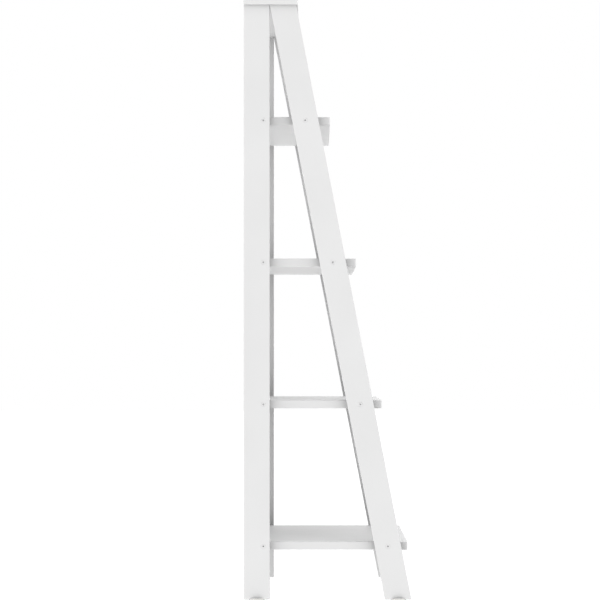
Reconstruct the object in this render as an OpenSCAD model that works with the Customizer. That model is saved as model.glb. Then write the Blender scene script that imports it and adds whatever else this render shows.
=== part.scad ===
// A-frame ladder shelf: two side frames, each of an upright rear leg and a leaning front leg,
// tied together by four shelves that grow deeper downward and by a cap board on top.
// Units are millimetres. +Z is up, the front faces -Y and +X is to the viewer's right.
// The origin is on the floor, under the middle of the bounding box.

/* [Overall] */
// Height from the floor to the top of the cap board
total_h = 1397; // [1380:1:1500]
// Width across the outer faces of the two side frames
frame_w = 610; // [450:1:900]
// Thickness of every board
board_t = 19; // [18:0.5:22]
// Radius of the eased edges
edge_r = 1.5; // [0.5:0.5:3]
// Radius of the boards' corners in plan
corner_r = 3; // [1:0.5:5]

/* [Legs] */
// Width of each leg, square to its edges
leg_w = 60; // [56:1:70]
// Lean of the front legs from upright, in degrees
lean = 10.98; // [10.5:0.01:12]

/* [Cap board] */
// Overhang of the cap beyond the outer face of each side frame
cap_side = 6; // [2:1:30]
// Overhang of the cap in front of the front legs
cap_front = 4; // [0:0.5:20]
// Overhang of the cap behind the rear legs
cap_rear = 1; // [0:0.5:5]

/* [Shelves] */
// Height of the bottom shelf's upper face
first_shelf_z = 134.5; // [100:0.5:150]
// Rise from one shelf's upper face to the next
shelf_pitch = 328.5; // [310:0.5:335]
// Depth of the top shelf, back edge to front edge
top_shelf_d = 200; // [190:1:215]
// How much deeper each shelf is than the one above it
shelf_step = 60; // [58:1:64]

/* [Shelf fixings] */
// Diameter of the connector bolts' shanks
bolt_d = 6; // [5:0.5:7]
// Overall length of the connector bolts
bolt_l = 60; // [50:1:70]
// Diameter of the bolts' flat heads
bolt_head_d = 11; // [10:0.5:14]
// Distance from a rear leg's back face to its bolts
rear_bolt_inset = 45.5; // [40:0.5:48]
// Diameter of the barrel nuts
barrel_d = 10; // [9:0.5:12]
// Length of the barrel nuts
barrel_l = 13; // [12:0.5:14]
// Diameter of the wooden dowels
dowel_d = 8; // [6:0.5:10]
// Length of the wooden dowels
dowel_l = 28; // [24:1:30]
// Distance from a rear leg's back face to its dowels
dowel_inset = 15; // [12:0.5:20]

/* [Cap fixings] */
// Diameter of the cam locks
cam_d = 15; // [14:0.5:16]
// Height of the cam locks
cam_h = 12.5; // [11:0.5:14]
// Distance from the top end of a leg down to its cam lock
cam_drop = 34; // [24:1:40]

/* [Feet] */
// Diameter of the round glides under the legs
glide_d = 36; // [32:1:46]
// Height of a glide, from its sole to its upper face
glide_h = 5; // [4.5:0.5:8]
// Radius of a glide's upper edge
glide_top_r = 3.5; // [1:0.5:3.5]
// Thickness of a glide's sole, which the leg stands on
glide_sole = 2.5; // [2:0.5:3.5]

/* [Wall bracket] */
// Thickness of the bracket's steel
bracket_t = 2; // [1.5:0.5:3]
// Width of the bracket
bracket_w = 30; // [25:1:60]
// Height of the flange that lies against the wall
bracket_h = 28; // [24:1:40]
// Depth of the flange under the cap board
bracket_d = 22; // [20:1:30]
// Diameter of the hole for the wall screw
wall_hole_d = 5; // [4:0.5:6]

/* [Hidden] */
$fn = 48;

// Clearance between a fixing and its hole, all round
fit = 0.1;
// Overlap used to cut cleanly through a face
eps = 1;

LEFT = -1;
RIGHT = 1;
SIDES = [LEFT, RIGHT];

// Heights and widths
cap_z = total_h - board_t;
outer_x = frame_w / 2;
inner_x = outer_x - board_t;
mid_leg_x = outer_x - board_t / 2;
shelf_l = 2 * inner_x;

// Front leg: how far it leans out for each unit of height, and its width along a level line
slope = tan(lean);
front_run = leg_w / cos(lean);

// The legs stand on the soles of their glides
leg_foot_z = glide_sole;
leg_h = cap_z - leg_foot_z;

// Depths are measured forward from the rear legs' back face, which stands at rear_y
frame_d = leg_w + slope * leg_h + front_run;
rear_y = (frame_d + cap_rear) / 2 - cap_rear;
function front_leg_back(z) = leg_w + slope * (cap_z - z);
function front_leg_mid(z) = front_leg_back(z) + front_run / 2;
function y_at(depth) = rear_y - depth;
cap_d = cap_rear + leg_w + front_run + cap_front;

// Shelves are numbered from the top one, 0, to the bottom one, 3
shelf_count = 4;
function shelf_top(i) = first_shelf_z + (shelf_count - 1 - i) * shelf_pitch;
function shelf_d(i) = top_shelf_d + i * shelf_step;
function fixing_z(i) = shelf_top(i) - board_t / 2;
function bolt_depths(i) = [rear_bolt_inset, front_leg_mid(fixing_z(i))];

// Connector bolts: head, hex socket and the place of the barrel nut along the bolt
bolt_head_h = 2;
socket_af = 4;
socket_h = 1.6;
barrel_reach = bolt_l - bolt_d;
barrel_slot_w = 1.2;
barrel_slot_depth = 1.2;
bolt_hole_d = bolt_d + 1;
bolt_end_room = 4;
shelf_bore_l = bolt_l - board_t + bolt_end_room;
barrel_lid = 3;

// Dowels: how far one reaches into a leg, and the slack at each end of its holes
dowel_in_leg = 11;
dowel_in_shelf = dowel_l - dowel_in_leg;
dowel_slack = 1;

// Cap fixings, placed along each leg's top end from the back of the leg
cam_bolt_back = 20;
cap_dowel_back = 42;
cam_neck_d = 5;
cam_thread_d = 6;
cam_thread_l = 10;
cam_collar_d = 7;
cam_collar_h = 2;
cam_ball_d = 6.5;
cam_pocket_d = cam_ball_d + 1;
cam_slot_l = 9;
cam_slot_w = 1.4;
cam_slot_depth = 1.5;
cam_slack = 0.5;
cap_dowel_in_cap = 11;
cap_dowel_drop = dowel_l - cap_dowel_in_cap;

// Glides and their nails, whose heads are sunk in the sole
glide_sole_r = 0.5;
nail_d = 2;
nail_head_d = 5;
nail_head_h = 1;
nail_sink = 1.3;
nail_l = 20;
nail_spacing = 14;

// Wall bracket
bracket_bend = 2;
bracket_screw_d = 3.5;
bracket_screw_l = 16;
bracket_screw_head_d = 7;
bracket_screw_head_h = 2;
bracket_screw_spacing = 16;
bracket_screw_edge = 8;
bracket_screw_y = y_at(-cap_rear) - bracket_d + bracket_screw_edge;
bracket_screw_hole_d = bracket_screw_d + 1;
wall_hole_edge = 9;
wall_hole_z = cap_z - bracket_h + wall_hole_edge;

// ---- Shapes that repeat -------------------------------------------------------------------

// A rectangle centred on the origin with round corners
module rounded_rect(w, h, r) {
    square([w - 2 * r, h], center = true);
    square([w, h - 2 * r], center = true);
    for (sx = [-1, 1], sy = [-1, 1])
        translate([sx * (w / 2 - r), sy * (h / 2 - r)]) circle(r = r);
}

// A flat board, centred on the origin, with eased edges and small round corners
module eased_board(w, d, t) {
    intersection() {
        translate([0, 0, -t]) linear_extrude(2 * t) rounded_rect(w, d, corner_r);
        rotate([90, 0, 0]) translate([0, 0, -d]) linear_extrude(2 * d) rounded_rect(w, t, edge_r);
        rotate([90, 0, 90]) translate([0, 0, -w]) linear_extrude(2 * w) rounded_rect(d, t, edge_r);
    }
}

// A round bar or hole along +X for the right side, or along -X for the left
module along_x(side, x, l, d) {
    translate([side * x, 0, 0]) rotate([0, side * 90, 0]) cylinder(d = d, h = l);
}

// Stock for a leg: a bar along Z with eased long edges, from z0 to z1
module leg_bar(z0, z1) {
    translate([0, 0, z0]) linear_extrude(z1 - z0) rounded_rect(board_t, leg_w, edge_r);
}

// ---- Holes --------------------------------------------------------------------------------

// The holes that one shelf's bolt makes in a leg: a clearance hole and a recess for the head
module leg_bolt_hole(side, depth, z) {
    translate([0, y_at(depth), z]) {
        along_x(side, inner_x - eps, board_t + 2 * eps, bolt_hole_d);
        along_x(side, outer_x - bolt_head_h, bolt_head_h + eps, bolt_head_d + 2 * fit);
    }
}

// The blind hole for a dowel in the inner face of a rear leg
module leg_dowel_hole(side, z) {
    translate([0, y_at(dowel_inset), z])
        along_x(side, inner_x - eps, dowel_in_leg + dowel_slack + eps, dowel_d + 2 * fit);
}

// The holes in a leg's top end: cam bolt, dowel, and the pocket for the cam lock
module leg_top_holes(side, back) {
    translate([side * mid_leg_x, y_at(back + cam_bolt_back), cap_z - cam_drop])
        cylinder(d = cam_collar_d + 2 * fit, h = cam_drop + eps);
    translate([0, y_at(back + cam_bolt_back), cap_z - cam_drop])
        along_x(side, inner_x - eps, cam_h + cam_slack + eps, cam_d + 2 * fit);
    translate([side * mid_leg_x, y_at(back + cap_dowel_back), cap_z - cap_dowel_drop - dowel_slack])
        cylinder(d = dowel_d + 2 * fit, h = dowel_l);
}

// The nail holes in a leg's foot
module leg_nail_holes(side, mid) {
    for (s = [-1, 1])
        translate([side * mid_leg_x, y_at(mid) + s * nail_spacing / 2, leg_foot_z - eps])
            cylinder(d = nail_d + 2 * fit, h = nail_l);
}

// ---- Boards -------------------------------------------------------------------------------

module rear_leg(side) {
    color("#e9e9e9") difference() {
        translate([side * mid_leg_x, y_at(leg_w / 2), 0]) leg_bar(leg_foot_z, cap_z);
        for (i = [0 : shelf_count - 1]) {
            leg_bolt_hole(side, rear_bolt_inset, fixing_z(i));
            leg_dowel_hole(side, fixing_z(i));
        }
        leg_top_holes(side, 0);
        leg_nail_holes(side, leg_w / 2);
    }
}

module front_leg(side) {
    color("#e9e9e9") difference() {
        intersection() {
            translate([side * mid_leg_x, y_at(front_leg_mid(cap_z)), cap_z])
                rotate([-lean, 0, 0]) leg_bar(-leg_h / cos(lean) - leg_w, leg_w);
            translate([-frame_w, -frame_d, leg_foot_z]) cube([2 * frame_w, 2 * frame_d, leg_h]);
        }
        for (i = [0 : shelf_count - 1])
            leg_bolt_hole(side, front_leg_mid(fixing_z(i)), fixing_z(i));
        leg_top_holes(side, leg_w);
        leg_nail_holes(side, front_leg_mid(leg_foot_z));
    }
}

module shelf(i) {
    color("#eeeeee") difference() {
        translate([0, y_at(shelf_d(i) / 2), fixing_z(i)]) eased_board(shelf_l, shelf_d(i), board_t);
        for (side = SIDES) {
            for (depth = bolt_depths(i)) {
                translate([0, y_at(depth), fixing_z(i)])
                    along_x(side, inner_x - shelf_bore_l, shelf_bore_l + eps, bolt_hole_d);
                translate([side * (outer_x - barrel_reach), y_at(depth), shelf_top(i) - board_t - eps])
                    cylinder(d = barrel_d + 2 * fit, h = board_t - barrel_lid + eps);
            }
            translate([0, y_at(dowel_inset), fixing_z(i)])
                along_x(side, inner_x - dowel_in_shelf - dowel_slack, dowel_l, dowel_d + 2 * fit);
        }
    }
}

module cap_board() {
    color("#f0f0f0") difference() {
        translate([0, y_at(cap_d / 2 - cap_rear), cap_z + board_t / 2])
            eased_board(frame_w + 2 * cap_side, cap_d, board_t);
        for (side = SIDES, back = [0, leg_w]) {
            translate([side * mid_leg_x, y_at(back + cam_bolt_back), cap_z - eps])
                cylinder(d = cam_thread_d + 2 * fit, h = cam_thread_l + dowel_slack + eps);
            translate([side * mid_leg_x, y_at(back + cap_dowel_back), cap_z - eps])
                cylinder(d = dowel_d + 2 * fit, h = cap_dowel_in_cap + dowel_slack + eps);
        }
        for (s = [-1, 1])
            translate([s * bracket_screw_spacing / 2, bracket_screw_y, cap_z - eps])
                cylinder(d = bracket_screw_d + 2 * fit, h = bracket_screw_l + eps);
    }
}

// ---- Shelf fixings ------------------------------------------------------------------------

// One connector bolt, its head flush with the leg's outer face and its socket facing out
module connector_bolt(side) {
    difference() {
        union() {
            along_x(side, outer_x - bolt_head_h, bolt_head_h, bolt_head_d);
            along_x(side, outer_x - bolt_l, bolt_l - bolt_head_h, bolt_d);
        }
        translate([side * (outer_x - socket_h), 0, 0])
            rotate([0, side * 90, 0]) cylinder(d = socket_af / cos(30), h = socket_h + eps, $fn = 6);
    }
}

module shelf_bolts(i) {
    color("#d8d8d8")
        for (side = SIDES, depth = bolt_depths(i))
            translate([0, y_at(depth), fixing_z(i)]) connector_bolt(side);
}

module shelf_barrel_nuts(i) {
    color("#9a9a98")
        for (side = SIDES, depth = bolt_depths(i))
            translate([side * (outer_x - barrel_reach), y_at(depth), fixing_z(i)]) difference() {
                translate([0, 0, -barrel_l / 2]) cylinder(d = barrel_d, h = barrel_l);
                translate([-barrel_d, 0, 0]) rotate([0, 90, 0])
                    cylinder(d = bolt_d + 2 * fit, h = 2 * barrel_d);
                translate([0, 0, -barrel_l / 2])
                    cube([2 * barrel_d, barrel_slot_w, 2 * barrel_slot_depth], center = true);
            }
}

module shelf_dowels(i) {
    color("#c9a878")
        for (side = SIDES)
            translate([0, y_at(dowel_inset), fixing_z(i)])
                along_x(side, inner_x - dowel_in_shelf, dowel_l, dowel_d);
}

// ---- Cap fixings --------------------------------------------------------------------------

// A cam bolt hangs from the cap board: thread, collar, neck and the ball that the cam grips
module cap_cam_bolts() {
    color("#b4b2ac")
        for (side = SIDES, back = [0, leg_w])
            translate([side * mid_leg_x, y_at(back + cam_bolt_back), cap_z]) {
                cylinder(d = cam_thread_d, h = cam_thread_l);
                translate([0, 0, -cam_collar_h]) cylinder(d = cam_collar_d, h = cam_collar_h);
                translate([0, 0, -cam_drop]) cylinder(d = cam_neck_d, h = cam_drop);
                translate([0, 0, -cam_drop]) sphere(d = cam_ball_d);
            }
}

// A cam lock is a drum with a pocket for the ball and a cross slot in its open face
module cap_cam_locks() {
    color("#a9a8a4")
        for (side = SIDES, back = [0, leg_w])
            translate([0, y_at(back + cam_bolt_back), cap_z - cam_drop]) difference() {
                along_x(side, inner_x, cam_h, cam_d);
                translate([side * mid_leg_x, 0, -cam_pocket_d / 2])
                    cylinder(d = cam_pocket_d, h = cam_d);
                for (turn = [0, 90])
                    translate([side * inner_x, 0, 0]) rotate([turn, 0, 0])
                        cube([2 * cam_slot_depth, cam_slot_l, cam_slot_w], center = true);
            }
}

module cap_dowels() {
    color("#c9a878")
        for (side = SIDES, back = [0, leg_w])
            translate([side * mid_leg_x, y_at(back + cap_dowel_back), cap_z - cap_dowel_drop])
                cylinder(d = dowel_d, h = dowel_l);
}

// ---- Feet ---------------------------------------------------------------------------------

// Half-section of a glide: a flat disc, rounded at its upper edge and eased at its sole
module glide_profile() {
    r = glide_d / 2;
    square([r - glide_top_r, glide_h]);
    translate([0, glide_sole_r]) square([r, glide_h - glide_top_r - glide_sole_r]);
    translate([r - glide_top_r, glide_h - glide_top_r]) intersection() {
        circle(r = glide_top_r);
        square(glide_top_r);
    }
    translate([r - glide_top_r, 0]) square([glide_top_r - glide_sole_r, glide_h / 2]);
    translate([r - glide_sole_r, glide_sole_r]) intersection() {
        circle(r = glide_sole_r);
        translate([0, -glide_sole_r]) square(glide_sole_r);
    }
}

// A moulded glide: a disc with a channel across it for the leg's foot and two sunk nail holes
module glide(side, mid) {
    color("#dcdcda") translate([side * mid_leg_x, y_at(mid), 0]) difference() {
        rotate_extrude() glide_profile();
        translate([-board_t / 2 - fit, -glide_d, glide_sole])
            cube([board_t + 2 * fit, 2 * glide_d, glide_h]);
        for (s = [-1, 1]) translate([0, s * nail_spacing / 2, -eps]) {
            cylinder(d = nail_d + 2 * fit, h = glide_sole + 2 * eps);
            cylinder(d = nail_head_d + 2 * fit, h = nail_sink + eps);
        }
    }
}

module glide_nails() {
    color("#c2c1bd")
        for (side = SIDES, mid = [leg_w / 2, front_leg_mid(leg_foot_z)], s = [-1, 1])
            translate([side * mid_leg_x, y_at(mid) + s * nail_spacing / 2, nail_sink - nail_head_h]) {
                cylinder(d = nail_head_d, h = nail_head_h);
                cylinder(d = nail_d, h = nail_l);
            }
}

// ---- Wall bracket -------------------------------------------------------------------------

// Half-section of the bracket: a flange under the cap, a bend, and a flange on the wall
module bracket_profile() {
    r_out = bracket_bend + bracket_t;
    translate([-bracket_d, -bracket_t]) square([bracket_d - r_out, bracket_t]);
    translate([-bracket_t, -bracket_h]) square([bracket_t, bracket_h - r_out]);
    translate([-r_out, -r_out]) intersection() {
        difference() {
            circle(r = r_out);
            circle(r = bracket_bend);
        }
        square([r_out, r_out]);
    }
}

module wall_bracket() {
    color("#c4c4c0") difference() {
        translate([-bracket_w / 2, y_at(-cap_rear), cap_z])
            rotate([90, 0, 90]) linear_extrude(bracket_w) bracket_profile();
        for (s = [-1, 1])
            translate([s * bracket_screw_spacing / 2, bracket_screw_y, cap_z - bracket_t - eps])
                cylinder(d = bracket_screw_hole_d, h = bracket_t + 2 * eps);
        translate([0, y_at(-cap_rear) + eps, wall_hole_z])
            rotate([90, 0, 0]) cylinder(d = wall_hole_d, h = bracket_t + 2 * eps);
    }
}

module bracket_screws() {
    color("#b9b8b4")
        for (s = [-1, 1])
            translate([s * bracket_screw_spacing / 2, bracket_screw_y, cap_z - bracket_t]) {
                translate([0, 0, -bracket_screw_head_h])
                    cylinder(d = bracket_screw_head_d, h = bracket_screw_head_h);
                cylinder(d = bracket_screw_d, h = bracket_screw_l);
            }
}

cap_board();
rear_leg(LEFT);  // left_rear_leg
rear_leg(RIGHT);  // right_rear_leg
front_leg(LEFT);  // left_front_leg
front_leg(RIGHT);  // right_front_leg
shelf(0);  // top_shelf
shelf(1);  // upper_shelf
shelf(2);  // lower_shelf
shelf(3);  // bottom_shelf
shelf_bolts(0);  // top_shelf_bolts
shelf_bolts(1);  // upper_shelf_bolts
shelf_bolts(2);  // lower_shelf_bolts
shelf_bolts(3);  // bottom_shelf_bolts
shelf_barrel_nuts(0);  // top_shelf_barrel_nuts
shelf_barrel_nuts(1);  // upper_shelf_barrel_nuts
shelf_barrel_nuts(2);  // lower_shelf_barrel_nuts
shelf_barrel_nuts(3);  // bottom_shelf_barrel_nuts
shelf_dowels(0);  // top_shelf_dowels
shelf_dowels(1);  // upper_shelf_dowels
shelf_dowels(2);  // lower_shelf_dowels
shelf_dowels(3);  // bottom_shelf_dowels
cap_cam_bolts();
cap_cam_locks();
cap_dowels();
glide(LEFT, leg_w / 2);  // left_rear_glide
glide(RIGHT, leg_w / 2);  // right_rear_glide
glide(LEFT, front_leg_mid(leg_foot_z));  // left_front_glide
glide(RIGHT, front_leg_mid(leg_foot_z));  // right_front_glide
glide_nails();
wall_bracket();
bracket_screws();
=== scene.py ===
"""The looks of a white ladder shelf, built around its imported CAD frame.

The boards, glides, barrel nuts, cam locks and wall bracket keep their CAD shapes and get their finishes
here. The turned and threaded hardware is built in full detail and stands for its plain CAD nodes. Every
length is in metres, in the frame's own axes: +Z up, -Y the front and +Y the wall.
"""

import logging
import math
from dataclasses import dataclass
from enum import Enum

import bpy
import numpy as np
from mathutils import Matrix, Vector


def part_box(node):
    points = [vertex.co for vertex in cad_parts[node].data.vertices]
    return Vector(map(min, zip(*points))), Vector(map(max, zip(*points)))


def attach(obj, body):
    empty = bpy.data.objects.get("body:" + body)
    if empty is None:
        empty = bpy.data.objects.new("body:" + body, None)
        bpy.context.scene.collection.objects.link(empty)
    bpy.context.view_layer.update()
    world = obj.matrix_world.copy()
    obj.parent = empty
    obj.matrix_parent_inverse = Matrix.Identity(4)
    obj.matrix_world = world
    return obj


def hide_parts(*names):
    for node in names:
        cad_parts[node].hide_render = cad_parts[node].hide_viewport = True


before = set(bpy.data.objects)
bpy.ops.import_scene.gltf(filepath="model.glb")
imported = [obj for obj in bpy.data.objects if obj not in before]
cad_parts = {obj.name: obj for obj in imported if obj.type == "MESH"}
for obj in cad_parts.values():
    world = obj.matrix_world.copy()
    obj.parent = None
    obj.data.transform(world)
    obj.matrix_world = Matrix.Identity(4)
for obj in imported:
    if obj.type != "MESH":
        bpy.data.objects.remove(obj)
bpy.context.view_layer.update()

MM = 0.001
ROOT = "root"
# The span that holds most of a noise's values, which lie about 0.5.
NOISE_SPAN = (0.3, 0.7)
# A thread's wave is stretched by the first and lowered by the second, which cuts its crests and roots flat.
THREAD_STRETCH, THREAD_FLAT = 1.3, 0.15

log = logging.getLogger("ladder_shelf")


class Axis(Enum):
    """A direction of the frame, as its index in a point."""

    X = 0
    Y = 1
    Z = 2

    def towards(self, sign: float = 1.0) -> np.ndarray:
        """Returns the unit vector along this axis, or against it for a negative sign."""
        return np.eye(3)[self.value] * sign


class Side(Enum):
    """A side frame, by the sign of its place along X."""

    LEFT = -1
    RIGHT = 1

    @property
    def word(self) -> str:
        """The side as it stands in node names."""
        return self.name.lower()


class Slot(Enum):
    """The record's material slots."""

    BOARD = "painted_board"
    BOLT = "coated_bolt"
    STEEL = "zinc_steel"
    DIE_CAST = "zinc_alloy"
    BEECH = "beech"
    GLIDE = "moulded_glide"
    BRACKET = "coated_bracket"


# ---- Material tools ----------------------------------------------------------------------------------


def linear(colour: str) -> tuple[float, float, float, float]:
    """Turns an sRGB colour into the linear one that shaders take.

    Args:
        colour: Hex digits after a hash sign, such as "#eaeaea".

    Returns:
        Linear red, green, blue and an alpha of 1.
    """
    values = np.array([int(colour[i : i + 2], 16) for i in (1, 3, 5)]) / 255.0
    low, high = values / 12.92, ((values + 0.055) / 1.055) ** 2.4
    return (*np.where(values <= 0.04045, low, high).tolist(), 1.0)


def add_node(tree: bpy.types.NodeTree, kind: str, inputs: dict | None = None, **settings) -> bpy.types.Node:
    """Adds one node to a tree, with its settings, values and links.

    Args:
        tree: The node tree that gets the node.
        kind: The node's type name.
        inputs: Values and output sockets by the name or number of the input that takes them.
        **settings: Attributes of the node itself.

    Returns:
        The new node.
    """
    node = tree.nodes.new(kind)
    for name, value in settings.items():
        setattr(node, name, value)
    for key, value in (inputs or {}).items():
        if isinstance(value, bpy.types.NodeSocket):
            tree.links.new(value, node.inputs[key])
        else:
            node.inputs[key].default_value = value
    return node


@dataclass(frozen=True)
class Grain:
    """A noise that varies over a surface: the pitch of its largest features, its octaves of finer ones
    and, where it is raised, the height of its relief. Sizes in millimetres."""

    pitch: float
    detail: float = 2.0
    height: float = 0.0

    def inputs(self, place: bpy.types.NodeSocket) -> dict:
        """Returns the inputs of this noise's node, laid on a set of coordinates."""
        return {"Vector": place, "Scale": 1.0 / (self.pitch * MM), "Detail": self.detail}


@dataclass(frozen=True)
class Finish:
    """One finish: its colour and gloss, and the pattern that a subclass adds."""

    name: str
    colour: str
    roughness: float
    metallic: float = 0.0

    def material(self) -> bpy.types.Material:
        """Builds the material.

        Returns:
            The material, with its pattern laid on Object coordinates.
        """
        made = bpy.data.materials.new(self.name)
        made.use_nodes = True
        tree = made.node_tree
        tree.nodes.clear()
        values = {
            "Base Color": linear(self.colour),
            "Roughness": self.roughness,
            "Metallic": self.metallic,
        }
        shader = add_node(tree, "ShaderNodeBsdfPrincipled", values)
        add_node(tree, "ShaderNodeOutputMaterial", {"Surface": shader.outputs["BSDF"]})
        self.pattern(tree, shader, add_node(tree, "ShaderNodeTexCoord"))
        return made

    def pattern(self, tree: bpy.types.NodeTree, shader: bpy.types.Node, place: bpy.types.Node) -> None:
        """Adds what varies over the surface: nothing, unless a subclass does.

        Args:
            tree: The material's node tree.
            shader: Its Principled BSDF.
            place: Its Texture Coordinate node.
        """


# ---- Finishes ----------------------------------------------------------------------------------------


@dataclass(frozen=True)
class SatinLacquer(Finish):
    """Satin white lacquer, rolled on fibreboard: soft gloss, a faint orange peel, and edges that are
    duller and a little fibrous, because the board's cut edges drink the lacquer."""

    thickness: Axis = Axis.Z
    drift_colour: str = "#e7e7e7"
    edge_colour: str = "#e8e8e8"
    edge_roughness: float = 0.62
    edge_span: tuple[float, float] = (0.35, 0.85)
    roller_swing: float = 0.03
    drift: Grain = Grain(140.0)
    roller: Grain = Grain(18.0)
    # Real orange peel is 1 to 3 mm across. Drawn at 4 mm, it still shows from a metre or two away.
    peel: Grain = Grain(4.0, 1.0, 0.03)
    fibre: Grain = Grain(0.8, 3.0, 0.012)

    def pattern(self, tree: bpy.types.NodeTree, shader: bpy.types.Node, place: bpy.types.Node) -> None:
        """Adds the film's slow drift in tone, the roller's marks, the peel and the duller edges.

        Args:
            tree: The material's node tree.
            shader: Its Principled BSDF.
            place: Its Texture Coordinate node.
        """
        drift, roller, peel, fibre = (
            add_node(tree, "ShaderNodeTexNoise", grain.inputs(place.outputs["Object"])).outputs["Fac"]
            for grain in (self.drift, self.roller, self.peel, self.fibre)
        )
        facing = add_node(tree, "ShaderNodeSeparateXYZ", {0: place.outputs["Normal"]})
        square = {0: facing.outputs[self.thickness.value]}
        upright = add_node(tree, "ShaderNodeMath", square, operation="ABSOLUTE")
        turned = {"Value": upright.outputs[0], "From Min": self.edge_span[0], "From Max": self.edge_span[1]}
        turned |= {"To Min": 1.0, "To Max": 0.0}
        edge = add_node(tree, "ShaderNodeMapRange", turned).outputs["Result"]

        spread = {"Value": drift, "From Min": NOISE_SPAN[0], "From Max": NOISE_SPAN[1]}
        share = add_node(tree, "ShaderNodeMapRange", spread).outputs["Result"]
        tones = {"Factor": share, 6: linear(self.colour), 7: linear(self.drift_colour)}
        face = add_node(tree, "ShaderNodeMix", tones, data_type="RGBA").outputs[2]
        edged = {"Factor": edge, 6: face, 7: linear(self.edge_colour)}
        tone = add_node(tree, "ShaderNodeMix", edged, data_type="RGBA").outputs[2]
        tree.links.new(tone, shader.inputs["Base Color"])

        marks = {"Value": roller, "From Min": NOISE_SPAN[0], "From Max": NOISE_SPAN[1]}
        marks |= {"To Min": -self.roller_swing, "To Max": self.roller_swing}
        swing = add_node(tree, "ShaderNodeMapRange", marks).outputs["Result"]
        gloss = {"Value": edge, "To Min": self.roughness, "To Max": self.edge_roughness}
        dull = add_node(tree, "ShaderNodeMapRange", gloss).outputs["Result"]
        rough = add_node(tree, "ShaderNodeMath", {0: dull, 1: swing}, operation="ADD").outputs[0]
        tree.links.new(rough, shader.inputs["Roughness"])

        film = {"Height": peel, "Distance": self.peel.height * MM, "Strength": 1.0}
        under = add_node(tree, "ShaderNodeBump", film).outputs["Normal"]
        raised = add_node(tree, "ShaderNodeMath", {0: fibre, 1: edge}, operation="MULTIPLY").outputs[0]
        fuzz = {"Height": raised, "Distance": self.fibre.height * MM, "Strength": 1.0, "Normal": under}
        relief = add_node(tree, "ShaderNodeBump", fuzz).outputs["Normal"]
        tree.links.new(relief, shader.inputs["Normal"])


@dataclass(frozen=True)
class Clouded(Finish):
    """A finish whose tone and gloss drift together in soft clouds, over a fine even grain."""

    second_colour: str = "#ffffff"
    clouds: Grain = Grain(6.0)
    cloud_span: tuple[float, float] = (0.0, 1.0)
    glossier: float = 0.05
    duller: float = 0.05
    grain: Grain = Grain(0.7)

    def pattern(self, tree: bpy.types.NodeTree, shader: bpy.types.Node, place: bpy.types.Node) -> None:
        """Adds the clouds, as a change of colour and of gloss, and the grain's relief.

        Args:
            tree: The material's node tree.
            shader: Its Principled BSDF.
            place: Its Texture Coordinate node.
        """
        clouds, grain = (
            add_node(tree, "ShaderNodeTexNoise", noise.inputs(place.outputs["Object"])).outputs["Fac"]
            for noise in (self.clouds, self.grain)
        )
        spread = {"Value": clouds, "From Min": self.cloud_span[0], "From Max": self.cloud_span[1]}
        share = add_node(tree, "ShaderNodeMapRange", spread).outputs["Result"]
        tones = {"Factor": share, 6: linear(self.colour), 7: linear(self.second_colour)}
        tone = add_node(tree, "ShaderNodeMix", tones, data_type="RGBA").outputs[2]
        tree.links.new(tone, shader.inputs["Base Color"])

        gloss = {"Value": clouds, "From Min": NOISE_SPAN[0], "From Max": NOISE_SPAN[1]}
        gloss |= {"To Min": self.roughness - self.glossier, "To Max": self.roughness + self.duller}
        rough = add_node(tree, "ShaderNodeMapRange", gloss).outputs["Result"]
        tree.links.new(rough, shader.inputs["Roughness"])

        raised = {"Height": grain, "Distance": self.grain.height * MM, "Strength": 1.0}
        relief = add_node(tree, "ShaderNodeBump", raised).outputs["Normal"]
        tree.links.new(relief, shader.inputs["Normal"])


@dataclass(frozen=True)
class StovedEnamel(Clouded):
    """White enamel stoved on small steel parts: harder and glossier than the boards' lacquer."""

    second_colour: str = "#e6e6e6"
    grain: Grain = Grain(0.7, 1.0, 0.015)


@dataclass(frozen=True)
class ZincPlate(Clouded):
    """Bright zinc electroplated on turned steel: a cool metal with cloudy, faintly yellow patches."""

    second_colour: str = "#c9c4b4"
    clouds: Grain = Grain(3.0)
    cloud_span: tuple[float, float] = NOISE_SPAN
    glossier: float = 0.06
    duller: float = 0.08
    grain: Grain = Grain(0.25, 3.0, 0.006)


@dataclass(frozen=True)
class DieCastZinc(Clouded):
    """Zinc alloy as it leaves the die: grey, dull and slightly mottled."""

    second_colour: str = "#8f8f8b"
    clouds: Grain = Grain(2.0, 4.0)
    cloud_span: tuple[float, float] = NOISE_SPAN
    glossier: float = 0.08
    duller: float = 0.08
    grain: Grain = Grain(0.4, 3.0, 0.02)


@dataclass(frozen=True)
class MouldedPolyethylene(Clouded):
    """Natural polyethylene from a spark-eroded mould: milky white, waxy, with a fine even grain."""

    second_colour: str = "#e4e4e0"
    clouds: Grain = Grain(8.0)
    glossier: float = 0.04
    duller: float = 0.04
    grain: Grain = Grain(0.35, 2.0, 0.012)


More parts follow.
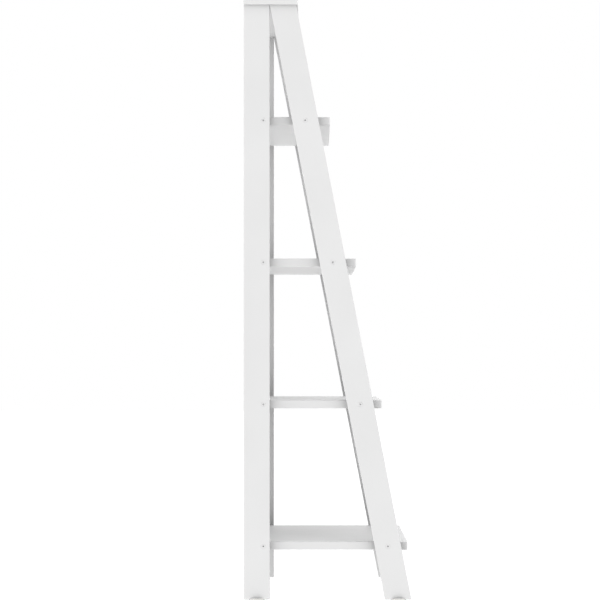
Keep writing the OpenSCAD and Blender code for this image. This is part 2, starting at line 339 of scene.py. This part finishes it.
@dataclass(frozen=True)
class TurnedBeech(Finish):
    """Beech, turned and left bare: straight pinkish-tan grain with short darker flecks."""

    grain: Axis = Axis.X
    band_colour: str = "#b98a5c"
    fleck_colour: str = "#8e6238"
    bands: Grain = Grain(1.6, 2.0, 0.03)
    flecks: Grain = Grain(0.5, 1.0)
    fleck_span: tuple[float, float] = (0.6, 0.72)
    stretch: float = 0.08

    def pattern(self, tree: bpy.types.NodeTree, shader: bpy.types.Node, place: bpy.types.Node) -> None:
        """Adds growth bands and flecks that run along the grain.

        Args:
            tree: The material's node tree.
            shader: Its Principled BSDF.
            place: Its Texture Coordinate node.
        """
        along = tuple(self.stretch if axis is self.grain else 1.0 for axis in Axis)
        drawn = {"Vector": place.outputs["Object"], "Scale": along}
        surface = add_node(tree, "ShaderNodeMapping", drawn).outputs["Vector"]
        bands, flecks = (
            add_node(
                tree,
                "ShaderNodeMapRange",
                {
                    "Value": add_node(tree, "ShaderNodeTexNoise", noise.inputs(surface)).outputs["Fac"],
                    "From Min": span[0],
                    "From Max": span[1],
                },
            ).outputs["Result"]
            for noise, span in ((self.bands, NOISE_SPAN), (self.flecks, self.fleck_span))
        )
        banding = {"Factor": bands, 6: linear(self.colour), 7: linear(self.band_colour)}
        banded = add_node(tree, "ShaderNodeMix", banding, data_type="RGBA").outputs[2]
        flecking = {"Factor": flecks, 6: banded, 7: linear(self.fleck_colour)}
        tone = add_node(tree, "ShaderNodeMix", flecking, data_type="RGBA").outputs[2]
        tree.links.new(tone, shader.inputs["Base Color"])
        raised = {"Height": bands, "Distance": self.bands.height * MM, "Strength": 1.0}
        relief = add_node(tree, "ShaderNodeBump", raised).outputs["Normal"]
        tree.links.new(relief, shader.inputs["Normal"])


class Palette:
    """The finishes as materials, each made once."""

    def __init__(self) -> None:
        """Builds every material that the pieces share."""
        self.flat_board = SatinLacquer("satin_lacquer_flat", "#eaeaea", 0.54, thickness=Axis.Z).material()
        self.leg_board = SatinLacquer("satin_lacquer_leg", "#eaeaea", 0.54, thickness=Axis.X).material()
        self.enamel = StovedEnamel("stoved_enamel", "#ececec", 0.42).material()
        # Powder coat flows less than wet enamel, so its peel is coarser.
        coarse = Grain(1.2, 1.0, 0.015)
        self.powder = StovedEnamel("powder_coat", "#e8e8e8", 0.48, grain=coarse).material()
        self.zinc = ZincPlate("bright_zinc_plate", "#c8ccd0", 0.3, 1.0).material()
        self.die_cast = DieCastZinc("die_cast_zinc", "#a9a9a5", 0.5, 1.0).material()
        self.beech_across = TurnedBeech("beech_along_x", "#d3a878", 0.62, grain=Axis.X).material()
        self.beech_upright = TurnedBeech("beech_along_z", "#d3a878", 0.62, grain=Axis.Z).material()
        self.polyethylene = MouldedPolyethylene("moulded_polyethylene", "#ececea", 0.44).material()


# ---- Mesh tools --------------------------------------------------------------------------------------


@dataclass
class RingSurface:
    """A closed surface of rings round an axis, from its first end to its last.

    A point of ring i at angle j is origin + axis * places[i, j] + radii[i, j] * (cos, sin of the angle),
    measured in the plane square to the axis. Flat caps close the first and the last ring.
    """

    places: np.ndarray
    radii: np.ndarray
    origin: np.ndarray
    axis: np.ndarray

    def points(self) -> np.ndarray:
        """Returns the vertices, ring after ring, as an array of (rings * segments, 3)."""
        segments = self.radii.shape[1]
        angles = np.arange(segments) * (2 * math.pi / segments)
        first = np.eye(3)[(int(np.argmax(np.abs(self.axis))) + 1) % 3]
        second = np.cross(self.axis, first)
        spokes = np.outer(np.cos(angles), first) + np.outer(np.sin(angles), second)
        along = self.places[..., None] * self.axis
        return (self.origin + along + self.radii[..., None] * spokes).reshape(-1, 3)

    def faces(self, start: int) -> list[list[int]]:
        """Lists the faces, all of them facing outwards.

        Args:
            start: Number of the surface's first vertex in the mesh.

        Returns:
            The caps and then the quads between neighbouring rings, as vertex numbers.
        """
        rings, segments = self.radii.shape
        numbers = start + np.arange(rings * segments).reshape(rings, segments)
        after = np.roll(numbers, -1, axis=1)
        quads = np.stack([numbers[:-1], after[:-1], after[1:], numbers[1:]], axis=-1).reshape(-1, 4)
        return [numbers[0, ::-1].tolist(), numbers[-1].tolist(), *quads.tolist()]


def rings(segments: int, *steps: tuple[float, float]) -> tuple[np.ndarray, np.ndarray]:
    """Makes plain round rings from (place, radius) steps along a profile.

    Args:
        segments: Number of points round each ring.
        *steps: Place along the axis and radius of each ring, in millimetres.

    Returns:
        The places and the radii, each an array of (rings, segments), in metres.
    """
    table = np.array(steps, float) * MM
    return tuple(np.repeat(table[:, column : column + 1], segments, axis=1) for column in (0, 1))


def arc(
    segments: int, centre: float, radius: float, start: float, end: float, count: int = 8
) -> tuple[np.ndarray, np.ndarray]:
    """Makes rings along an arc that is centred on the axis, as on a ball.

    Args:
        segments: Number of points round each ring.
        centre: Place of the ball's centre along the axis, in millimetres.
        radius: The ball's radius, in millimetres.
        start: Angle of the first ring, measured from the ball's pole at the lower end, in degrees.
        end: Angle of the last ring.
        count: Number of rings.

    Returns:
        The places and the radii, each an array of (rings, segments), in metres.
    """
    turn = np.radians(np.linspace(start, end, count))
    return rings(segments, *zip(centre - radius * np.cos(turn), radius * np.sin(turn)))


def thread(
    segments: int, start: float, end: float, outer: float, depth: float, pitch: float, per_turn: int = 6
) -> tuple[np.ndarray, np.ndarray]:
    """Makes rings whose radius follows a right-hand screw thread.

    The radius is a triangle wave of the place less the angle's share of the pitch, cut flat at its
    crests and roots, and it fades to the root over one pitch at each end.

    Args:
        segments: Number of points round each ring.
        start: Place where the thread starts, in millimetres.
        end: Place where it ends.
        outer: Radius over the crests.
        depth: Depth from crest to root.
        pitch: Distance from one crest to the next.
        per_turn: Number of rings in one pitch.

    Returns:
        The places and the radii, each an array of (rings, segments), in metres.
    """
    place = np.linspace(start, end, round((end - start) / pitch * per_turn) + 1)[:, None]
    share = np.arange(segments)[None, :] / segments
    wave = 1.0 - np.abs(2.0 * np.mod(place / pitch - share, 1.0) - 1.0)
    crest = np.clip(THREAD_STRETCH * wave - THREAD_FLAT, 0.0, 1.0)
    fade = np.clip(np.minimum(place - start, end - place) / pitch, 0.0, 1.0)
    radius = outer - depth + depth * crest * fade
    return np.repeat(place, segments, axis=1) * MM, radius * MM


def joined(*parts: tuple[np.ndarray, np.ndarray]) -> tuple[np.ndarray, np.ndarray]:
    """Stacks stretches of rings, end to end, into one pair of places and radii."""
    return tuple(np.vstack([part[column] for part in parts]) for column in (0, 1))


@dataclass
class Piece:
    """A finished piece: its surfaces, its material and the CAD node that it stands for."""

    name: str
    node: str
    slot: Slot
    material: bpy.types.Material
    sharp_deg: float = 35.0

    def build(self, surfaces: list[RingSurface]) -> bpy.types.Object:
        """Puts the surfaces into one mesh, dresses it and ties it to the frame.

        Args:
            surfaces: The closed surfaces that make up the piece.

        Returns:
            The piece's object, at the origin, with its place in its mesh.
        """
        clouds = [surface.points() for surface in surfaces]
        starts = np.cumsum([0, *map(len, clouds)])
        faces = [face for surface, start in zip(surfaces, starts) for face in surface.faces(int(start))]
        mesh = bpy.data.meshes.new(self.name)
        mesh.from_pydata(np.vstack(clouds), [], faces)
        mesh.validate()
        mesh.polygons.foreach_set("use_smooth", np.ones(len(mesh.polygons), bool))
        mesh.set_sharp_from_angle(angle=math.radians(self.sharp_deg))
        mesh.materials.append(self.material)
        piece = bpy.data.objects.new(self.name, mesh)
        bpy.context.scene.collection.objects.link(piece)
        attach(piece, ROOT)
        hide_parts(self.node)
        log.info("%s: %d surfaces, %d faces, stands for %s", self.name, len(surfaces), len(faces), self.node)
        return piece


def dress(node: str, material: bpy.types.Material) -> None:
    """Gives a CAD node its finish and leaves its shape alone.

    Args:
        node: The node's name.
        material: The finish.
    """
    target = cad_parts[node]
    for place in target.material_slots:
        place.material = material
    log.info("%s: CAD shape, %s", node, material.name)


# ---- Hardware ----------------------------------------------------------------------------------------


@dataclass(frozen=True)
class ConnectorBolt:
    """A furniture connector bolt with a flat, chamfered head and a hex socket. Sizes in millimetres."""

    length: float = 60.0
    shank_d: float = 6.0
    head_d: float = 11.0
    head_h: float = 2.0
    chamfer: float = 0.2
    socket_af: float = 4.0
    socket_depth: float = 1.4
    socket_lead_in: float = 0.25
    drill_point_h: float = 0.8
    drill_point_r: float = 0.3
    tip_l: float = 1.0
    tip_taper: float = 0.5
    thread_l: float = 30.0
    thread_pitch: float = 1.0
    thread_depth: float = 0.6
    shank_relief: float = 0.15
    segments: int = 36

    def hexagon(self, place: float, across: float) -> tuple[np.ndarray, np.ndarray]:
        """Makes one six-sided ring: its radius is half the width over flats, divided by the cosine of
        the angle from the middle of the nearest flat.

        Args:
            place: Place along the bolt, in millimetres.
            across: Width over the flats, in millimetres.

        Returns:
            The ring's places and radii, in metres.
        """
        angle = np.arange(self.segments) * (2 * math.pi / self.segments)
        from_flat = np.mod(angle + math.pi / 6, math.pi / 3) - math.pi / 6
        radius = across / 2 / np.cos(from_flat) * MM
        return np.full((1, self.segments), place * MM), radius[None, :]

    def surface(self, head_centre: np.ndarray, axis: np.ndarray) -> RingSurface:
        """Builds one bolt, from its tip to the bottom of its socket.

        Args:
            head_centre: Middle of the head's outer face.
            axis: Unit vector from the tip to the head.

        Returns:
            The bolt's closed surface.
        """
        radius, head_r, tip = self.shank_d / 2, self.head_d / 2, self.tip_l
        root = radius - self.thread_depth
        neck = self.length - self.head_h
        places, radii = joined(
            rings(self.segments, (0.0, root - self.tip_taper), (tip, root)),
            thread(
                self.segments, tip + 0.1, tip + self.thread_l, radius, self.thread_depth, self.thread_pitch
            ),
            rings(
                self.segments,
                (tip + self.thread_l + 0.5, radius - self.shank_relief),
                (neck - 2 * self.shank_relief, radius - self.shank_relief),
                (neck, radius + self.shank_relief),
                (neck, head_r - self.chamfer / 2),
                (neck + self.chamfer / 2, head_r),
                (self.length - self.chamfer, head_r),
                (self.length, head_r - self.chamfer),
            ),
            self.hexagon(self.length, self.socket_af + 2 * self.socket_lead_in),
            self.hexagon(self.length - self.socket_lead_in, self.socket_af),
            self.hexagon(self.length - self.socket_depth, self.socket_af),
            rings(self.segments, (self.length - self.socket_depth - self.drill_point_h, self.drill_point_r)),
        )
        return RingSurface(places, radii, head_centre - axis * self.length * MM, axis)


@dataclass(frozen=True)
class FlutedDowel:
    """A beech dowel with chamfered ends and glue flutes. Sizes in millimetres."""

    diameter: float = 8.0
    chamfer: float = 1.0
    chamfer_depth: float = 0.8
    flute_start: float = 0.2
    flutes: int = 16
    flute_depth: float = 0.35
    per_flute: int = 6

    def surface(self, start: np.ndarray, length: float, axis: np.ndarray) -> RingSurface:
        """Builds one dowel. Each flute is a narrow dip: a cosine of the angle, raised to a power.

        Args:
            start: Middle of the dowel's first end.
            length: The dowel's length, in metres.
            axis: Unit vector along the dowel.

        Returns:
            The dowel's closed surface.
        """
        segments = self.flutes * self.per_flute
        angle = np.arange(segments) * (2 * math.pi / segments)
        dip = self.flute_depth * (0.5 + 0.5 * np.cos(self.flutes * angle)) ** 3
        size, radius = length / MM, self.diameter / 2
        ends = np.array([0.0, self.chamfer, self.chamfer + self.flute_start])
        place = np.concatenate([ends, (size - ends)[::-1]])
        bevel = np.array([radius - self.chamfer_depth, radius, radius])
        flute = np.array([0.0, 0.0, 1.0])
        plain = np.concatenate([bevel, bevel[::-1]])[:, None]
        radii = plain - np.outer(np.concatenate([flute, flute[::-1]]), dip)
        return RingSurface(np.repeat(place[:, None], segments, axis=1) * MM, radii * MM, start, axis)


@dataclass(frozen=True)
class CamBolt:
    """The bolt that a cam lock grips: ball, neck, collar and a coarse wood thread. Sizes in millimetres."""

    ball_d: float = 6.5
    neck_d: float = 5.0
    collar_d: float = 7.0
    collar_h: float = 2.0
    collar_edge: float = 0.3
    point_taper: float = 0.9
    thread_d: float = 6.0
    thread_depth: float = 0.9
    thread_pitch: float = 2.0
    segments: int = 32

    def surface(self, ball_centre: np.ndarray, collar_top: float, tip: float) -> RingSurface:
        """Builds one cam bolt, upright, from its ball to the tip of its thread.

        Args:
            ball_centre: Middle of the ball.
            collar_top: Height of the collar's upper face above the ball's centre, in metres.
            tip: Height of the thread's tip above the ball's centre, in metres.

        Returns:
            The bolt's closed surface.
        """
        top, end = collar_top / MM, tip / MM
        ball, neck, collar, root = (
            self.ball_d / 2, self.neck_d / 2, self.collar_d / 2, self.thread_d / 2 - self.thread_depth,
        )
        under, edge = top - self.collar_h, self.collar_edge
        meet = 180.0 - math.degrees(math.asin(neck / ball))
        places, radii = joined(
            arc(self.segments, 0.0, ball, 6.0, meet, 14),
            rings(
                self.segments, (under, neck), (under, collar - edge), (under + edge, collar),
                (top - edge, collar), (top, collar - edge), (top, root),
            ),
            thread(
                self.segments, top + 0.1, end - 1.2,
                self.thread_d / 2, self.thread_depth, self.thread_pitch, per_turn=10,
            ),
            rings(self.segments, (end - 1.1, root), (end, root - self.point_taper)),
        )
        return RingSurface(places, radii, ball_centre, Axis.Z.towards())


@dataclass(frozen=True)
class RingNail:
    """A ring-shank nail, point up: flat head, sharp annular rings and a cut point. Sizes in millimetres."""

    head_d: float = 5.0
    head_h: float = 1.0
    shank_d: float = 2.0
    ring_pitch: float = 1.2
    ring_depth: float = 0.18
    ring_rise: float = 0.85
    plain_l: float = 3.0
    point_l: float = 2.6
    point_r: float = 0.1
    segments: int = 24

    def surface(self, foot: np.ndarray, length: float) -> RingSurface:
        """Builds one nail. Its rings rise gently and fall back sharply, like a saw's teeth.

        Args:
            foot: Middle of the head's lower face.
            length: The nail's overall length, in metres.

        Returns:
            The nail's closed surface.
        """
        size, head, shank = length / MM, self.head_d / 2, self.shank_d / 2
        start, end = self.head_h + self.plain_l, size - self.point_l - 0.5
        teeth = np.arange(start, end - self.ring_pitch, self.ring_pitch)
        saw = [
            step
            for tooth in teeth.tolist()
            for step in ((tooth, shank - self.ring_depth), (tooth + self.ring_pitch * self.ring_rise, shank))
        ]
        places, radii = rings(
            self.segments, (0.0, head - 0.25), (0.2, head), (self.head_h - 0.2, head),
            (self.head_h, head - 0.2), (self.head_h, shank), (start - 0.3, shank), *saw,
            (size - self.point_l, shank), (size, self.point_r),
        )
        return RingSurface(places, radii, foot, Axis.Z.towards())


@dataclass(frozen=True)
class CrossScrew:
    """A pan-head wood screw with a cross recess. Sizes in millimetres."""

    head_d: float = 7.0
    head_h: float = 2.0
    shank_d: float = 3.5
    thread_depth: float = 0.55
    thread_pitch: float = 1.4
    point_l: float = 3.5
    point_r: float = 0.1
    dome_h: float = 0.35
    face_rings: int = 26
    recess_reach: float = 2.1
    recess_w: float = 0.9
    recess_depth: float = 1.3
    recess_wall: float = 0.12
    recess_slope: float = 1.25
    segments: int = 96

    def head_face(self, size: float) -> tuple[np.ndarray, np.ndarray]:
        """Makes the head's end face: a low dome with a cross sunk in it. The cross is deepest in the
        middle and its depth falls off along the arms.

        Args:
            size: The screw's overall length, in millimetres.

        Returns:
            The rings' places and radii, in metres.
        """
        radius = np.linspace(self.head_d / 2 - 0.2, 0.05, self.face_rings)[:, None]
        angle = np.arange(self.segments)[None, :] * (2 * math.pi / self.segments)
        x, y = np.abs(radius * np.cos(angle)), np.abs(radius * np.sin(angle))
        off_arm, along = np.minimum(x, y), np.maximum(x, y)
        wall = np.clip((self.recess_w / 2 - off_arm) / self.recess_wall, 0.0, 1.0)
        fall = np.clip(self.recess_slope * (1.0 - along / self.recess_reach), 0.0, 1.0)
        depth = self.recess_depth * wall * fall
        dome = self.dome_h * (radius / (self.head_d / 2)) ** 2
        return (size - dome - depth) * MM, np.repeat(radius, self.segments, axis=1) * MM

    def surface(self, tip: np.ndarray, length: float, axis: np.ndarray) -> RingSurface:
        """Builds one screw, from its point to the middle of its head.

        Args:
            tip: The screw's point.
            length: The screw's overall length, in metres.
            axis: Unit vector from the point to the head.

        Returns:
            The screw's closed surface.
        """
        size, shank, head = length / MM, self.shank_d / 2, self.head_d / 2
        neck, root = size - self.head_h, shank - self.thread_depth
        places, radii = joined(
            rings(self.segments, (0.0, self.point_r), (self.point_l, root)),
            thread(
                self.segments, self.point_l + 0.1, neck - 0.8,
                shank, self.thread_depth, self.thread_pitch, per_turn=8,
            ),
            rings(
                self.segments,
                (neck, root + 0.2), (neck, head - 0.1), (neck + 0.2, head), (size - 0.8, head),
            ),
            self.head_face(size),
        )
        return RingSurface(places, radii, tip, axis)


# ---- Sub-assemblies ----------------------------------------------------------------------------------


@dataclass
class SideFrame:
    """One side frame: an upright rear leg, a leaning front leg and the glides under them."""

    side: Side
    palette: Palette

    def dress(self) -> None:
        """Gives the legs and glides their finishes."""
        for leg in ("rear", "front"):
            dress(f"{self.side.word}_{leg}_leg", self.palette.leg_board)
            dress(f"{self.side.word}_{leg}_glide", self.palette.polyethylene)


@dataclass
class ShelfLevel:
    """One shelf with its four connector bolts, four barrel nuts and two dowels."""

    name: str
    palette: Palette
    bolt: ConnectorBolt = ConnectorBolt()
    dowel: FlutedDowel = FlutedDowel()
    dowel_length: float = 28.0 * MM

    def dress(self) -> None:
        """Gives the shelf and its barrel nuts their finishes."""
        dress(self.name, self.palette.flat_board)
        dress(f"{self.name}_barrel_nuts", self.palette.zinc)

    def bolts(self) -> bpy.types.Object:
        """Builds the four bolts, their heads outwards, in the places of the plain CAD ones."""
        node = f"{self.name}_bolts"
        low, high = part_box(node)
        reach = self.bolt.head_d / 2 * MM
        height = (low.z + high.z) / 2
        surfaces = [
            self.bolt.surface(np.array([side.value * high.x, y, height]), Axis.X.towards(side.value))
            for side in Side
            for y in (low.y + reach, high.y - reach)
        ]
        return Piece(f"{node}_threaded", node, Slot.BOLT, self.palette.enamel).build(surfaces)

    def dowels(self) -> bpy.types.Object:
        """Builds the two dowels in the places of the plain CAD ones."""
        node = f"{self.name}_dowels"
        low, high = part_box(node)
        middle = (low + high) / 2
        inner_end = high.x - self.dowel_length
        surfaces = [
            self.dowel.surface(
                np.array([side.value * inner_end, middle.y, middle.z]),
                self.dowel_length,
                Axis.X.towards(side.value),
            )
            for side in Side
        ]
        return Piece(f"{node}_fluted", node, Slot.BEECH, self.palette.beech_across).build(surfaces)


@dataclass
class CapLevel:
    """The cap board with its cam bolts, cam locks and dowels, and the bracket that ties it to a wall."""

    palette: Palette
    cam_bolt: CamBolt = CamBolt()
    dowel: FlutedDowel = FlutedDowel()
    screw: CrossScrew = CrossScrew()

    def dress(self) -> None:
        """Gives the cap board, the cam locks and the wall bracket their finishes."""
        dress("cap_board", self.palette.flat_board)
        dress("cap_cam_locks", self.palette.die_cast)
        dress("wall_bracket", self.palette.powder)

    def cam_bolts(self) -> bpy.types.Object:
        """Builds the four cam bolts, balls down, in the places of the plain CAD ones."""
        node = "cap_cam_bolts"
        low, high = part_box(node)
        reach, ball = self.cam_bolt.collar_d / 2 * MM, self.cam_bolt.ball_d / 2 * MM
        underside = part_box("cap_board")[0].z
        centre = low.z + ball
        surfaces = [
            self.cam_bolt.surface(
                np.array([side.value * (high.x - reach), y, centre]), underside - centre, high.z - centre
            )
            for side in Side
            for y in (low.y + reach, high.y - reach)
        ]
        return Piece(f"{node}_threaded", node, Slot.STEEL, self.palette.zinc).build(surfaces)

    def dowels(self) -> bpy.types.Object:
        """Builds the four upright dowels in the places of the plain CAD ones."""
        node = "cap_dowels"
        low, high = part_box(node)
        reach = self.dowel.diameter / 2 * MM
        surfaces = [
            self.dowel.surface(
                np.array([side.value * (high.x - reach), y, low.z]), high.z - low.z, Axis.Z.towards()
            )
            for side in Side
            for y in (low.y + reach, high.y - reach)
        ]
        return Piece(f"{node}_fluted", node, Slot.BEECH, self.palette.beech_upright).build(surfaces)

    def bracket_screws(self) -> bpy.types.Object:
        """Builds the two screws, heads down, in the places of the plain CAD ones."""
        node = "bracket_screws"
        low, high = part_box(node)
        reach = self.screw.head_d / 2 * MM
        surfaces = [
            self.screw.surface(
                np.array([side.value * (high.x - reach), (low.y + high.y) / 2, high.z]),
                high.z - low.z,
                Axis.Z.towards(-1.0),
            )
            for side in Side
        ]
        return Piece(f"{node}_threaded", node, Slot.STEEL, self.palette.zinc).build(surfaces)


@dataclass
class GlideNails:
    """The nails that hold the glides, two under each leg."""

    palette: Palette
    nail: RingNail = RingNail()
    spacing: float = 14.0 * MM

    def build(self) -> bpy.types.Object:
        """Builds the eight nails in the places of the plain CAD ones."""
        node = "glide_nails"
        low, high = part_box(node)
        reach = self.nail.head_d / 2 * MM
        surfaces = [
            self.nail.surface(np.array([side.value * (high.x - reach), y, low.z]), high.z - low.z)
            for side in Side
            for outermost, inwards in ((low.y + reach, 1.0), (high.y - reach, -1.0))
            for y in (outermost, outermost + inwards * self.spacing)
        ]
        return Piece(f"{node}_ringed", node, Slot.STEEL, self.palette.zinc).build(surfaces)


# ---- Studio ------------------------------------------------------------------------------------------


@dataclass(frozen=True)
class Softbox:
    """One soft source in the studio: where it stands, as seen from the object, and how bright it is."""

    towards: tuple[float, float, float]
    strength: float


@dataclass
class Studio:
    """The white studio: soft light from all round, a pale floor and the camera at the left side."""

    softboxes: tuple[Softbox, ...] = (
        Softbox((0, 0, 1), 1.56),
        Softbox((0, 1, 0), 1.78),
        Softbox((0, -1, 0), 0.46),
        Softbox((0, -1, 1), 0.98),
        Softbox((0, -1, -1), 0.74),
        Softbox((1, 0, 0), 2.06),
        Softbox((-1, 0, 0), 0.16),
        Softbox((-1, 0, 1), 0.57),
        Softbox((-1, -1, 1), 0.62),
        Softbox((-1, -1, -1), 0.84),
        Softbox((-1, 1, -1), 1.63),
        Softbox((0, 0, -1), 1.43),
    )
    spread_power: float = 5.0
    floor_size: float = 40.0
    floor_glow: float = 0.97
    floor_shade: str = "#808080"
    camera_away: float = 5.8074
    camera_ahead: float = 0.1637
    camera_height: float = 0.563
    lens: float = 150.641
    shift: tuple[float, float] = (-0.0241, 0.095)

    def world(self) -> None:
        """Lights the scene. The radiance from a direction is the sum over the softboxes of strength
        times the cosine of the angle to the softbox, raised to a power. The camera sees plain white."""
        world = bpy.data.worlds.new("studio")
        bpy.context.scene.world = world
        world.use_nodes = True
        tree = world.node_tree
        tree.nodes.clear()
        direction = add_node(tree, "ShaderNodeTexCoord").outputs["Generated"]
        total = None
        for box in self.softboxes:
            unit = np.array(box.towards, float) / np.linalg.norm(box.towards)
            facing = add_node(
                tree, "ShaderNodeVectorMath", {0: direction, 1: tuple(unit)}, operation="DOT_PRODUCT"
            )
            lit = add_node(tree, "ShaderNodeMath", {0: facing.outputs["Value"], 1: 0.0}, operation="MAXIMUM")
            narrowed = {0: lit.outputs[0], 1: self.spread_power}
            soft = add_node(tree, "ShaderNodeMath", narrowed, operation="POWER")
            inputs = {0: soft.outputs[0], 1: box.strength, 2: 0.0 if total is None else total}
            total = add_node(tree, "ShaderNodeMath", inputs, operation="MULTIPLY_ADD").outputs[0]
        white = linear("#ffffff")
        light = add_node(tree, "ShaderNodeBackground", {"Color": white, "Strength": total})
        plain = add_node(tree, "ShaderNodeBackground", {"Color": white, "Strength": 1.0})
        seen = add_node(tree, "ShaderNodeLightPath").outputs["Is Camera Ray"]
        mixed = add_node(tree, "ShaderNodeMixShader", {0: seen, 1: light.outputs[0], 2: plain.outputs[0]})
        add_node(tree, "ShaderNodeOutputWorld", {"Surface": mixed.outputs[0]})

    def floor(self) -> bpy.types.Object:
        """Lays a pale, softly lit floor with the faintest of contact shadows, clear from below."""
        half = self.floor_size / 2
        outline = [(-half, -half, 0.0), (half, -half, 0.0), (half, half, 0.0), (-half, half, 0.0)]
        mesh = bpy.data.meshes.new("studio_floor")
        mesh.from_pydata(outline, [], [(0, 1, 2, 3)])
        material = bpy.data.materials.new("studio_floor")
        material.use_nodes = True
        material.cycles.emission_sampling = "NONE"
        tree = material.node_tree
        tree.nodes.clear()
        glow = add_node(tree, "ShaderNodeEmission", {"Strength": self.floor_glow})
        shade = add_node(tree, "ShaderNodeBsdfDiffuse", {"Color": linear(self.floor_shade)})
        both = add_node(tree, "ShaderNodeAddShader", {0: glow.outputs[0], 1: shade.outputs[0]})
        clear = add_node(tree, "ShaderNodeBsdfTransparent")
        below = add_node(tree, "ShaderNodeNewGeometry").outputs["Backfacing"]
        mixed = add_node(tree, "ShaderNodeMixShader", {0: below, 1: both.outputs[0], 2: clear.outputs[0]})
        add_node(tree, "ShaderNodeOutputMaterial", {"Surface": mixed.outputs[0]})
        mesh.materials.append(material)
        floor = bpy.data.objects.new("studio_floor", mesh)
        bpy.context.scene.collection.objects.link(floor)
        # The studio's light comes from below too, so the floor is seen but stops none of it.
        floor.visible_diffuse = False
        floor.visible_glossy = False
        floor.visible_shadow = False
        return floor

    def camera(self) -> bpy.types.Object:
        """Stands the camera square to the left side frame, at sitting height, with a long lens."""
        low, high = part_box("left_rear_leg")
        data = bpy.data.cameras.new("camera")
        data.lens = self.lens
        data.shift_x, data.shift_y = self.shift
        data.clip_end = 100.0
        camera = bpy.data.objects.new("camera", data)
        camera.location = (low.x - self.camera_away, high.y - self.camera_ahead, self.camera_height)
        camera.rotation_euler = (math.pi / 2, 0.0, -math.pi / 2)
        bpy.context.scene.collection.objects.link(camera)
        bpy.context.scene.camera = camera
        return camera

    def set_up(self) -> None:
        """Makes the camera, the floor and the light."""
        scene = bpy.context.scene
        scene.view_settings.view_transform = "Standard"
        # Light passed on from board to board is left out, which keeps the joints crisply shaded.
        scene.cycles.diffuse_bounces = 0
        self.camera()
        self.floor()
        self.world()


# ---- The whole shelf ---------------------------------------------------------------------------------


def main() -> None:
    logging.basicConfig(level=logging.INFO, format="%(message)s")
    Studio().set_up()
    palette = Palette()
    for side in Side:
        SideFrame(side, palette).dress()
    for name in ("top_shelf", "upper_shelf", "lower_shelf", "bottom_shelf"):
        level = ShelfLevel(name, palette)
        level.dress()
        level.bolts()
        level.dowels()
    cap = CapLevel(palette)
    cap.dress()
    cap.cam_bolts()
    cap.dowels()
    cap.bracket_screws()
    GlideNails(palette).build()


if __name__ == "__main__":
    main()
